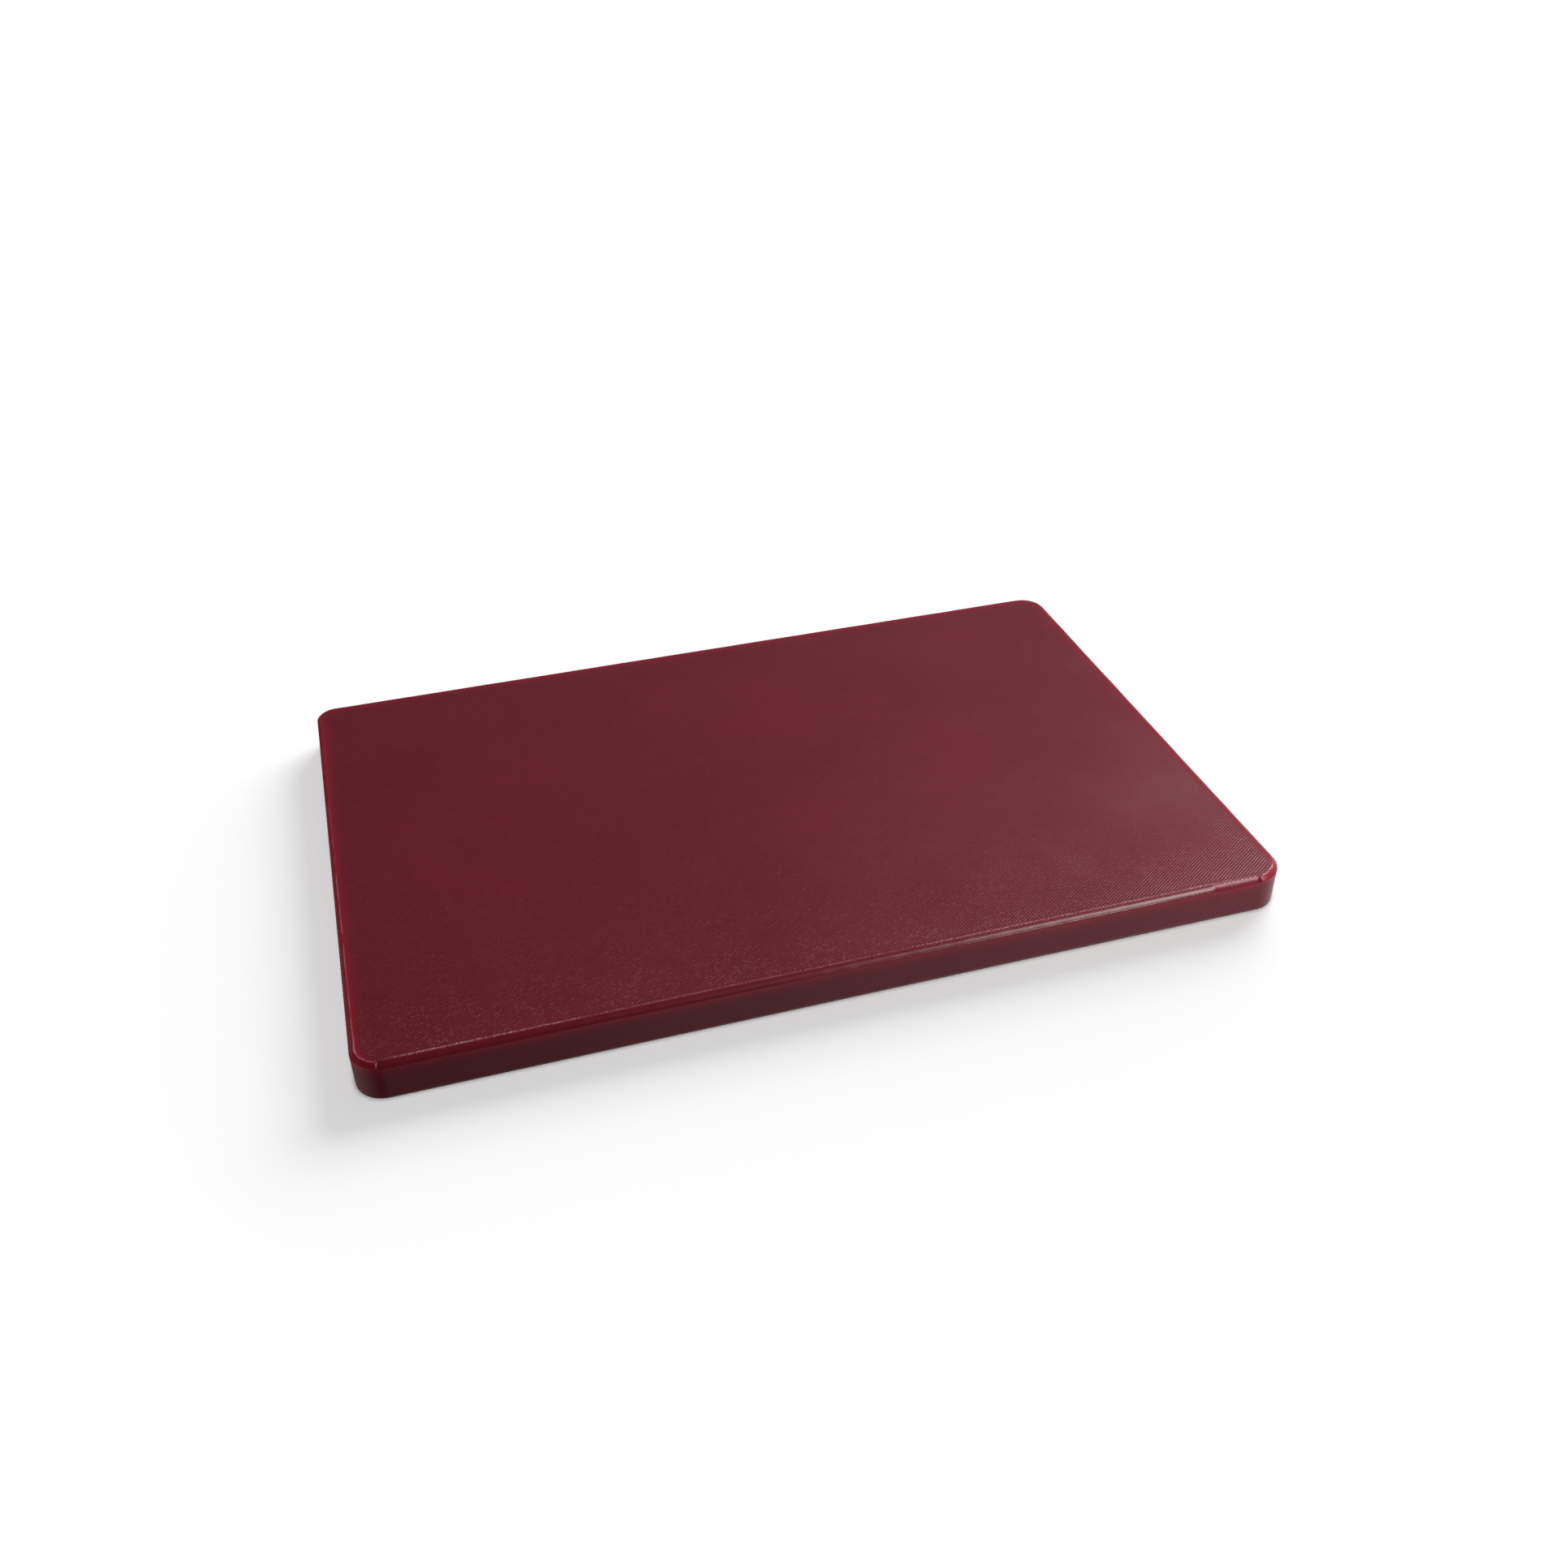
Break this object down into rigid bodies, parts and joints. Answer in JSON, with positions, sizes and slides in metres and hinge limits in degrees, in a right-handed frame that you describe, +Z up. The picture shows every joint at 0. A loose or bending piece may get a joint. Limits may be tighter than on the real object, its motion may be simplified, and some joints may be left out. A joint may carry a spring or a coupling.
{
  "type": "cutting board",
  "caption": "Rectangular slab cutting board in solid polyethylene, with rounded corners, chamfered top edges and a fine woven-texture cutting face.",
  "frame": {"origin": "middle of the bottom face", "axes": "+X along the length, +Y away from the scraped front edge, +Z up through the thickness"},
  "size_m": [0.45, 0.3, 0.02],
  "materials": {
    "board_plastic": "burgundy high-density polyethylene, satin, with a fine moulded weave on the cutting face and smooth sawn edges"
  },
  "bodies": {
    "root": {"board": "board_plastic"}
  },
  "joints": []
}
